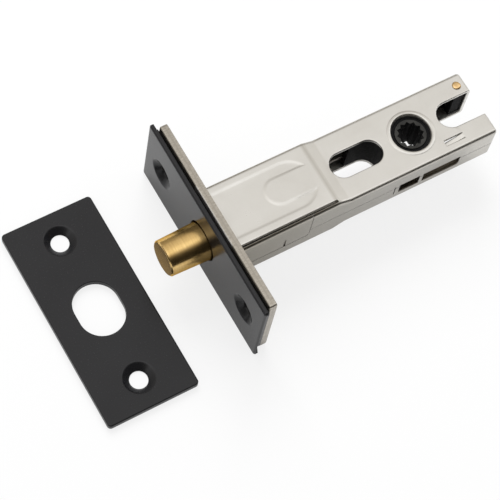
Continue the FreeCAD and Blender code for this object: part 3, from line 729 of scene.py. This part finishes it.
def turned_piece(name: str, profile: list[tuple[float, float]], centre: tuple[float, float],
                 steps: int) -> bpy.types.Object:
    """Turn a profile about an upright axis.

    Args:
        name: the piece's name.
        profile: pairs of radius and height, from axis to axis, or once round a section off the axis.
        centre: X and Y of the axis.
        steps: number of facets round.

    Returns:
        The closed piece.
    """
    build = bmesh.new()
    rings = []
    for radius, height in profile:
        angles = [2 * math.pi * step / steps for step in range(steps if radius else 1)]
        rings.append([build.verts.new((centre[0] + radius * math.cos(angle),
                                       centre[1] + radius * math.sin(angle), height)) for angle in angles])
    following_rings = rings[1:] + (rings[:1] if profile[0][0] else [])
    for lower, upper in zip(rings, following_rings):
        for step in range(steps):
            following = (step + 1) % steps
            corners = (lower[step % len(lower)], lower[following % len(lower)],
                       upper[following % len(upper)], upper[step % len(upper)])
            build.faces.new(list(dict.fromkeys(corners)))
    bmesh.ops.recalc_face_normals(build, faces=build.faces)
    return link_built(name, build, TURNED_SHARP_ANGLE)


@dataclass(frozen=True)
class Box:
    """Box that edges or walls lie in, in millimetres."""

    low: Triple = (-200.0, -200.0, -200.0)
    high: Triple = (200.0, 200.0, 200.0)

    def holds(self, corners: bmesh.types.BMElemSeq) -> bool:
        """Say whether all of these corners are inside."""
        return all(self.low[axis] * MM <= corner.co[axis] <= self.high[axis] * MM
                   for corner in corners for axis in range(3))

    def turned_over(self) -> "Box":
        """Give the box turned half a turn about the bolt's axis."""
        return Box((self.low[0], -self.high[1], -self.high[2]), (self.high[0], -self.low[1], -self.low[2]))


@dataclass(frozen=True)
class EdgeRound:
    """Rounding of the sharp edges that lie inside a box, in millimetres."""

    radius: float
    box: Box = Box()
    segments: int = 3
    sharp_from: float = math.radians(25.0)

    def turned_over(self) -> "EdgeRound":
        """Give the same rounding for the box turned half a turn about the bolt's axis."""
        return replace(self, box=self.box.turned_over())

    def takes(self, edge: bmesh.types.BMEdge, done: bmesh.types.BMLayerItem, avoid: list[Vector]) -> bool:
        """Say whether an edge is to be rounded.

        Args:
            edge: the edge.
            done: layer that marks faces made by an earlier rounding.
            avoid: places where rounding made faces cross.

        Returns:
            True for a sharp edge inside the box, not rounded yet and away from those places.
        """
        if len(edge.link_faces) != 2 or edge.calc_face_angle() < self.sharp_from:
            return False
        if any(face[done] for face in edge.link_faces) or not self.box.holds(edge.verts):
            return False
        return all(edge_distance(edge, place) > CROSSING_CLEARANCE for place in avoid)


def edge_distance(edge: bmesh.types.BMEdge, place: Vector) -> float:
    """Measure how far a place is from an edge.

    Args:
        edge: the edge.
        place: the place.

    Returns:
        The distance to the edge's nearest point, in metres.
    """
    start, end = (corner.co for corner in edge.verts)
    share = intersect_point_line(place, start, end)[1]
    return (start.lerp(end, min(1.0, max(0.0, share))) - place).length


def crossing_places(build: bmesh.types.BMesh) -> list[Vector]:
    """Find where a mesh's faces cut each other.

    Args:
        build: the mesh.

    Returns:
        The middle of the smaller face of each pair.
    """
    build.verts.index_update()
    build.faces.ensure_lookup_table()
    tree = BVHTree.FromBMesh(build)
    places = []
    for first, second in tree.overlap(tree):
        if first < second:
            corners = {corner.index for corner in build.faces[first].verts}
            if not corners & {corner.index for corner in build.faces[second].verts}:
                smaller = min(build.faces[first], build.faces[second], key=lambda face: face.calc_area())
                places.append(smaller.calc_center_median())
    return places


def round_edges(build: bmesh.types.BMesh, rounding: EdgeRound) -> bmesh.types.BMesh:
    """Round edges, leaving sharp any that would make more faces cross.

    Args:
        build: the mesh, which is used up.
        rounding: which edges, and how far.

    Returns:
        The rounded mesh, or the mesh as it was where no try is clean.
    """
    avoid: list[Vector] = []
    before = crossing_places(build)
    for _ in range(ROUNDING_TRIES):
        trial = build.copy()
        done = trial.faces.layers.int["rounded"]
        edges = [edge for edge in trial.edges if rounding.takes(edge, done, avoid)]
        made = bmesh.ops.bevel(trial, geom=edges, offset=rounding.radius * MM, offset_type="OFFSET",
                               segments=rounding.segments, profile=0.5, affect="EDGES", clamp_overlap=False)
        for face in made["faces"]:
            face[done] = 1
        crossings = [place for place in crossing_places(trial)
                     if all((place - other).length > OLD_CROSSING_REACH for other in before)]
        if not crossings:
            build.free()
            return trial
        avoid += crossings
        trial.free()
    LOG.info("left edges sharp: radius %s", rounding.radius)
    return build


@dataclass(frozen=True)
class WallShape:
    """New profile for the walls inside a box, in millimetres.

    Each ring has the level it lies at, how far it moves the way that its wall faces, and how far it rises.
    With a heading the whole ring moves that way instead. Levels lie along the axis whose number is upright.
    """

    box: Box
    rings: tuple[Triple, ...]
    upright: int = 2
    cuts: tuple[float, ...] = ()
    heading: Triple | None = None

    def turned_over(self) -> "WallShape":
        """Give the same profile for the box turned half a turn about the bolt's axis."""
        sense = -1.0 if self.upright == 2 else 1.0
        heading = self.heading and (self.heading[0], -self.heading[1], -self.heading[2])
        rings = tuple((sense * level, across, sense * rise) for level, across, rise in self.rings)
        return replace(self, box=self.box.turned_over(), rings=rings, heading=heading,
                       cuts=tuple(sense * cut for cut in self.cuts))

    def apply(self, build: bmesh.types.BMesh) -> None:
        """Cut the walls across at each level and move the cuts.

        Args:
            build: the mesh.
        """
        axis = self.upright
        facing = Vector([1.0 if side == axis else 0.0 for side in range(3)])
        for level in self.cuts:
            faces = [face for face in build.faces if self.box.holds(face.verts)]
            edges = {edge for face in faces for edge in face.edges}
            corners = {corner for face in faces for corner in face.verts}
            bmesh.ops.bisect_plane(build, geom=[*corners, *edges, *faces], dist=CUT_REACH,
                                   plane_co=facing * level * MM, plane_no=facing)
        build.normal_update()
        moves = []
        for corner in build.verts:
            walls = [face.normal.copy() for face in corner.link_faces if abs(face.normal[axis]) < WALL_TILT]
            rings = [ring for ring in self.rings if abs(corner.co[axis] - ring[0] * MM) < LEVEL_REACH]
            if rings and walls and self.box.holds([corner]):
                for wall in walls:
                    wall[axis] = 0.0
                    wall.normalize()
                towards = Vector(self.heading or sum(walls, Vector((0.0, 0.0, 0.0)))).normalized()
                spread = 1.0 if self.heading else max(LEAST_SPREAD, min(towards.dot(wall) for wall in walls))
                _, across, rise = rings[0]
                moves.append((corner, towards * (across * MM / spread) + facing * rise * MM))
        for corner, move in moves:
            corner.co += move
        build.normal_update()


@dataclass(frozen=True)
class SquaredCorners:
    """Rounded corners of a flat plate drawn out to nearly square ones, in millimetres."""

    along: float
    across: float
    share: float = 0.9
    least_arm: float = 0.1

    def apply(self, build: bmesh.types.BMesh) -> None:
        """Move the corner arcs' points outwards.

        Args:
            build: the mesh.
        """
        centre = (self.along * MM, self.across * MM)
        for corner in build.verts:
            arm = (abs(corner.co.y) - centre[0], abs(corner.co.z) - centre[1])
            if min(arm) > -WELD_REACH and max(arm) > self.least_arm * MM:
                scale = (math.hypot(*arm) / max(arm)) ** self.share
                corner.co.y = math.copysign(centre[0] + arm[0] * scale, corner.co.y)
                corner.co.z = math.copysign(centre[1] + arm[1] * scale, corner.co.z)
        build.normal_update()


@dataclass
class Assembly:
    frame: dict
    finishes: Finishes
    body: Body = Body.CASE

    def finish(self, piece: bpy.types.Object, slot: Slot, material: bpy.types.Material) -> None:
        """Give a new piece the assembly's body and a finish.

        Args:
            piece: the piece.
            slot: the record's slot that its finish stands for; not used.
            material: the finish.
        """
        piece.data.materials.clear()
        piece.data.materials.append(material)
        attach(piece, self.body.value)

    def dress(self, node: str, material: bpy.types.Material) -> None:
        """Give a node of the frame its finish.

        Args:
            node: the node's name.
            material: its finish.
        """
        for slot in self.frame["nodes"][node].material_slots:
            slot.material = material
        LOG.info("dressed %s in %s", node, material.name)

    def soften(self, node: str, roundings: list[EdgeRound],
               changes: tuple[WallShape | SquaredCorners, ...] = ()) -> bpy.types.Object:
        """Copy a node of the frame with its sharp edges rounded.

        Args:
            node: the node's name.
            roundings: the roundings, taken in order.
            changes: small moves made before them.

        Returns:
            The new piece, which replaces the node.
        """
        build = bmesh.new()
        build.from_mesh(self.frame["nodes"][node].data)
        bmesh.ops.remove_doubles(build, verts=build.verts, dist=WELD_REACH)
        bmesh.ops.dissolve_limit(build, angle_limit=FLAT_ANGLE, verts=build.verts, edges=build.edges,
                                 use_dissolve_boundaries=False)
        for change in changes:
            change.apply(build)
        build.faces.layers.int.new("rounded")
        for rounding in roundings:
            build = round_edges(build, rounding)
        bmesh.ops.triangulate(build, faces=build.faces)
        piece = link_built(node + "_soft", build, SHARP_ANGLE)
        weighting = piece.modifiers.new("even shading", "WEIGHTED_NORMAL")
        weighting.keep_sharp = True
        shaded = piece.evaluated_get(bpy.context.evaluated_depsgraph_get())
        piece.modifiers.clear()
        piece.data = bpy.data.meshes.new_from_object(shaded)
        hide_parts(node)
        LOG.info("softened %s: %d faces", node, len(piece.data.polygons))
        return piece


@dataclass
class ForendAndCase(Assembly):
    """Black faceplate, nickelled plate, pressed case halves and what is fixed in them."""

    hub_centre: tuple[float, float] = (-60.0 * MM, 0.0)
    hub_steps: int = 96
    hub_rim: tuple[tuple[float, float], ...] = (
        (6.45, 5.86), (6.30, 5.895), (6.15, 5.93), (6.00, 5.965), (5.85, 6.00), (5.72, 6.02), (5.62, 6.02),
        (5.50, 5.995), (5.40, 5.95), (5.28, 5.85), (5.17, 5.69), (5.08, 5.48), (5.01, 5.20), (4.98, 4.93),
        (5.30, 4.93), (5.70, 5.30), (6.10, 5.60))
    rivet_centre: tuple[float, float] = (-77.7 * MM, -6.35 * MM)
    rivet_radius: float = 1.1 * MM
    rivet_seat: float = 5.9 * MM
    rivet_dome: float = 0.3 * MM
    rivet_steps: int = 32
    rivet_rings: int = 6
    plain_edges: EdgeRound = EdgeRound(0.12)
    moulded_edges: EdgeRound = EdgeRound(0.15)
    face_edges: EdgeRound = EdgeRound(0.25, Box((-0.1, -30.0, -15.0), (0.1, 30.0, 15.0)))
    face_rebate: WallShape = WallShape(Box((-2.1, -30.0, 9.0), (0.1, 30.0, 13.0)),
                                       ((-1.15, -2.0, 0.0), (-2.0, -2.0, 0.0)), upright=0,
                                       cuts=(-1.08, -1.15), heading=(0.0, 0.0, 1.0))
    end_rebate: WallShape = WallShape(Box((-2.1, 27.6, -13.0), (0.1, 30.0, 13.0)),
                                      ((-1.15, -0.9, 0.0), (-2.0, -0.9, 0.0)), upright=0,
                                      heading=(0.0, 1.0, 0.0))
    plate_corners: SquaredCorners = SquaredCorners(24.8, 9.7)
    panel_slope: WallShape = WallShape(Box((-32.0, -7.7, 6.75), (-4.9, 6.8, 7.25)),
                                       ((7.2, -0.1, 0.0), (7.1, 0.06, 0.075), (7.0, 0.25, 0.12),
                                        (6.9, 0.45, 0.165), (6.8, 0.65, 0.24)), cuts=(6.9, 7.0, 7.1))
    pressed_edges: tuple[EdgeRound, ...] = (
        EdgeRound(0.6, Box((-34.0, 8.3, 7.1), (-4.1, 8.5, 7.3)), segments=4),
        EdgeRound(0.28, Box((-67.0, -7.0, 4.5), (-52.0, 7.0, 6.1)), sharp_from=math.radians(15.0)),
        EdgeRound(0.2, Box((-90.0, -5.0, 5.8), (-36.0, 5.0, 6.0))),
    )
    moulded_parts: tuple[str, ...] = ("fixing_guard", "rear_spacer", "follower_bush_upper",
                                      "follower_bush_lower")

    def build(self) -> None:
        """Dress the spring and the guide, and build every other fixed piece."""
        self.dress("detent_spring", self.finishes.bronze)
        self.dress("bolt_guide", self.finishes.nylon)
        self.build_forend()
        self.build_case()
        self.build_hub_rims()
        self.build_mouldings()
        self.build_rivet()

    def build_forend(self) -> None:
        """Make the faceplate and the plate behind it, with softened edges."""
        rebates = (self.face_rebate, self.face_rebate.turned_over(), self.end_rebate,
                   self.end_rebate.turned_over())
        faceplate = self.soften("faceplate", [self.face_edges, self.plain_edges], rebates)
        self.finish(faceplate, Slot.BLACK_COATING, self.finishes.black_coat)
        backplate = self.soften("backplate", [self.plain_edges], (self.plate_corners,))
        self.finish(backplate, Slot.NICKEL, self.finishes.nickel_plate)

    def build_case(self) -> None:
        """Make the two pressed halves, softly rounded where the press drew the sheet."""
        above = [*self.pressed_edges, self.plain_edges]
        below = [rounding.turned_over() for rounding in above]
        for half in (self.soften("case_upper", above, (self.panel_slope,)),
                     self.soften("case_lower", below, (self.panel_slope.turned_over(),))):
            self.finish(half, Slot.NICKEL, self.finishes.nickel)

    def build_hub_rims(self) -> None:
        """Make the rolled rims that stand proud round the follower's openings."""
        for name, side in (("hub_rim_upper", 1.0), ("hub_rim_lower", -1.0)):
            profile = [(radius * MM, side * height * MM) for radius, height in self.hub_rim]
            rim = turned_piece(name, profile, self.hub_centre, self.hub_steps)
            self.finish(rim, Slot.NICKEL, self.finishes.nickel)
            LOG.info("built %s", name)

    def build_mouldings(self) -> None:
        """Make the bushes, the guard and the spacer with the soft edges of mouldings."""
        for node in self.moulded_parts:
            self.finish(self.soften(node, [self.moulded_edges]), Slot.MOULDING, self.finishes.nylon)

    def build_rivet(self) -> None:
        """Make the rear rivet with softly domed, peened heads."""
        angles = [math.pi / 2 * ring / self.rivet_rings for ring in range(self.rivet_rings + 1)]
        head = [(self.rivet_radius * math.sin(angle), self.rivet_seat + self.rivet_dome * math.cos(angle))
                for angle in angles]
        foot = [(radius, -height) for radius, height in reversed(head)]
        rivet = turned_piece("rear_rivet_domed", head + foot, self.rivet_centre, self.rivet_steps)
        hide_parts("rear_rivet")
        self.finish(rivet, Slot.BRASS, self.finishes.rivet_brass)
        LOG.info("built %s", rivet.name)


@dataclass
class BoltUnit(Assembly):
    """Brass bolt, its pin and the draw bar behind it."""

    body: Body = Body.BOLT
    nose_edges: EdgeRound = EdgeRound(0.25)

    def build(self) -> None:
        """Make the turned bolt with its bevel's edges broken, and dress what draws it."""
        self.finish(self.soften("bolt", [self.nose_edges]), Slot.BRASS, self.finishes.brass)
        self.dress("bolt_pin", self.finishes.zinc)
        self.dress("draw_bar", self.finishes.zinc)


@dataclass
class FollowerUnit(Assembly):
    """Blackened follower with its star socket."""

    body: Body = Body.FOLLOWER
    cast_edges: EdgeRound = EdgeRound(0.08)

    def build(self) -> None:
        """Make the follower with slightly rounded edges, as cast."""
        self.finish(self.soften("follower", [self.cast_edges]), Slot.FOLLOWER, self.finishes.blackened)


@dataclass
class StrikePlate(Assembly):
    """Black strike plate that lies in front of the bolt."""

    opening_edges: EdgeRound = EdgeRound(0.25, Box((20.0, -26.0, -10.8), (36.0, 27.0, -10.6)))
    plain_edges: EdgeRound = EdgeRound(0.12)

    def build(self) -> None:
        """Make the plate with rolled mouths to its hole and screw seats."""
        plate = self.soften("strike_plate", [self.opening_edges, self.plain_edges])
        self.finish(plate, Slot.BLACK_COATING, self.finishes.black_coat)


@dataclass(frozen=True)
class SoftLamp:
    """One large rectangular lamp."""

    name: str
    place: Triple
    aim: Triple
    size: tuple[float, float]
    watts: float

    def build(self) -> None:
        """Make the lamp, unseen in reflections."""
        light = bpy.data.lights.new(self.name, "AREA")
        light.shape = "RECTANGLE"
        light.size, light.size_y = self.size
        light.energy = self.watts
        lamp = bpy.data.objects.new(self.name, light)
        lamp.visible_glossy = False
        bpy.context.scene.collection.objects.link(lamp)
        towards = Vector(self.aim) - Vector(self.place)
        turn = towards.to_track_quat("-Z", "Y").to_matrix().to_4x4()
        lamp.matrix_world = Matrix.Translation(self.place) @ turn


@dataclass
class Studio:
    """Pale floor, plain soft light and the camera at the photograph's angle."""

    floor_top: float = -12.5 * MM
    floor_gap: float = 0.02 * MM
    floor_size: float = 6.0
    floor_colour: Colour = (0.92, 0.92, 0.92)
    floor_glow: float = 0.78
    floor_gloss: float = 0.30
    sky_strength: float = 0.6
    sky_behind: Span = (-0.85, -0.35, 1.25, 1.0)
    sky_over: Span = (-0.3, 0.12, 1.0, 1.25)
    sky_ahead: Span = (0.82, 0.97, 1.30, 0.156)
    sky_steps: tuple[tuple[float, float], ...] = (
        (-90.0, 0.24), (-62.0, 0.34), (-40.0, 0.58), (-19.0, 0.73), (-4.0, 0.92), (8.0, 1.0), (18.0, 0.66),
        (29.0, 0.22), (42.0, 0.04), (66.0, 0.02), (90.0, 0.04))
    sky_warmth: Colour = (1.0, 0.93, 0.82)
    lens: float = 146.589
    sensor: float = 36.0
    camera_place: Triple = (139.2286 * MM, 165.1887 * MM, 449.6266 * MM)
    camera_right: Triple = (-0.86118388, 0.49607269, 0.11078908)
    camera_down: Triple = (0.41191815, 0.80882004, -0.41968271)
    camera_forward: Triple = (-0.29780155, -0.31578795, -0.90088412)
    key_lamp: SoftLamp = SoftLamp("key_lamp", (-0.25, -0.70, 0.70), (-0.02, 0.0, 0.0), (0.7, 0.7), 9.0)

    def build_floor(self) -> None:
        """Make the pale floor just under the part."""
        half = self.floor_size / 2
        mesh = bpy.data.meshes.new("floor")
        mesh.from_pydata([(-half, -half, 0), (half, -half, 0), (half, half, 0), (-half, half, 0)], [],
                         [(0, 1, 2, 3)])
        floor = link_mesh("floor", mesh)
        floor.location.z = self.floor_top - self.floor_gap
        material, graph, shader = new_material("pale_floor", self.floor_colour)
        surface = material.node_tree.get_output_node("ALL").inputs["Surface"]
        graph.fill(shader, {"Base Color": self.floor_colour, "Roughness": 0.9, "Specular IOR Level": 0.1})
        rays = graph.add("ShaderNodeLightPath")
        glow = graph.math("MAXIMUM", graph.times(rays.outputs["Is Camera Ray"], self.floor_glow),
                          graph.times(rays.outputs["Is Glossy Ray"], self.floor_gloss))
        white = graph.add("ShaderNodeEmission", {"Color": (1.0, 1.0, 1.0), "Strength": 1.0})
        lightened = graph.add("ShaderNodeMixShader", {"Fac": glow})
        graph.feed(shader.outputs[0], lightened.inputs[1])
        graph.feed(white.outputs[0], lightened.inputs[2])
        graph.feed(lightened.outputs[0], surface)
        mesh.materials.append(material)

    def build_sky(self) -> None:
        """White surroundings: plain white to the eye, and in metal a long soft lamp over the part."""
        world = bpy.data.worlds.new("studio")
        world.use_nodes = True
        world.node_tree.nodes.clear()
        graph = Graph(world.node_tree)
        rays = graph.add("ShaderNodeLightPath").outputs
        glossy = rays["Is Glossy Ray"]
        plain = graph.math("MAXIMUM", rays["Is Camera Ray"], rays["Is Transmission Ray"])
        unseen = graph.math("SUBTRACT", 1.0, graph.math("MAXIMUM", plain, glossy))
        towards = graph.axes("Generated")
        tilt = graph.math("ARCTAN2", towards["Y"], towards["Z"])
        softbox = graph.add("ShaderNodeValToRGB", {"Fac": graph.span(tilt, -math.pi / 2, math.pi / 2)})
        softbox.color_ramp.interpolation = "EASE"
        ends = softbox.color_ramp.elements
        for angle, level in self.sky_steps[1:-1]:
            ends.new(angle / 180.0 + 0.5)
        for step, (_, level) in zip(ends, self.sky_steps):
            warmed = [level * (level + (1.0 - level) * share) for share in self.sky_warmth]
            step.color = (*warmed, 1.0)
        stretches = (self.sky_behind, self.sky_over, self.sky_ahead)
        reach = graph.times(*(graph.span(towards["X"], *stretch) for stretch in stretches))
        seen = graph.math("MAXIMUM", plain, graph.times(glossy, reach))
        strength = graph.math("ADD", seen, graph.times(unseen, self.sky_strength))
        colour = graph.blend(glossy, (1.0, 1.0, 1.0), softbox.outputs["Color"])
        background = graph.add("ShaderNodeBackground", {"Color": colour, "Strength": strength})
        graph.add("ShaderNodeOutputWorld", {"Surface": background.outputs[0]})
        bpy.context.scene.world = world

    def build_camera(self) -> None:
        """Make the camera at the place worked out from the photograph."""
        data = bpy.data.cameras.new("camera")
        data.lens = self.lens
        data.sensor_width = self.sensor
        data.clip_start = 0.01
        data.clip_end = 50.0
        camera = bpy.data.objects.new("camera", data)
        bpy.context.scene.collection.objects.link(camera)
        right, down, forward = (Vector(v) for v in (self.camera_right, self.camera_down, self.camera_forward))
        turn = Matrix((right, -down, -forward)).transposed().to_4x4()
        camera.matrix_world = Matrix.Translation(self.camera_place) @ turn
        bpy.context.scene.camera = camera

    def build(self) -> None:
        """Make floor, sky, lamp and camera."""
        self.build_floor()
        self.build_sky()
        self.key_lamp.build()
        self.build_camera()
        LOG.info("studio ready")


def clear_scene() -> None:
    """Remove what Blender starts with."""
    for thing in list(bpy.data.objects):
        bpy.data.objects.remove(thing)


def main() -> None:
    """Load the frame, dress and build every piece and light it."""
    logging.basicConfig(level=logging.INFO, format="%(name)s: %(message)s")
    clear_scene()
    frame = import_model()
    bpy.context.scene.view_settings.view_transform = "Standard"
    finishes = Finishes()
    for assembly in (ForendAndCase, BoltUnit, FollowerUnit, StrikePlate):
        assembly(frame, finishes).build()
    Studio().build()


if __name__ == "__main__":
    main()
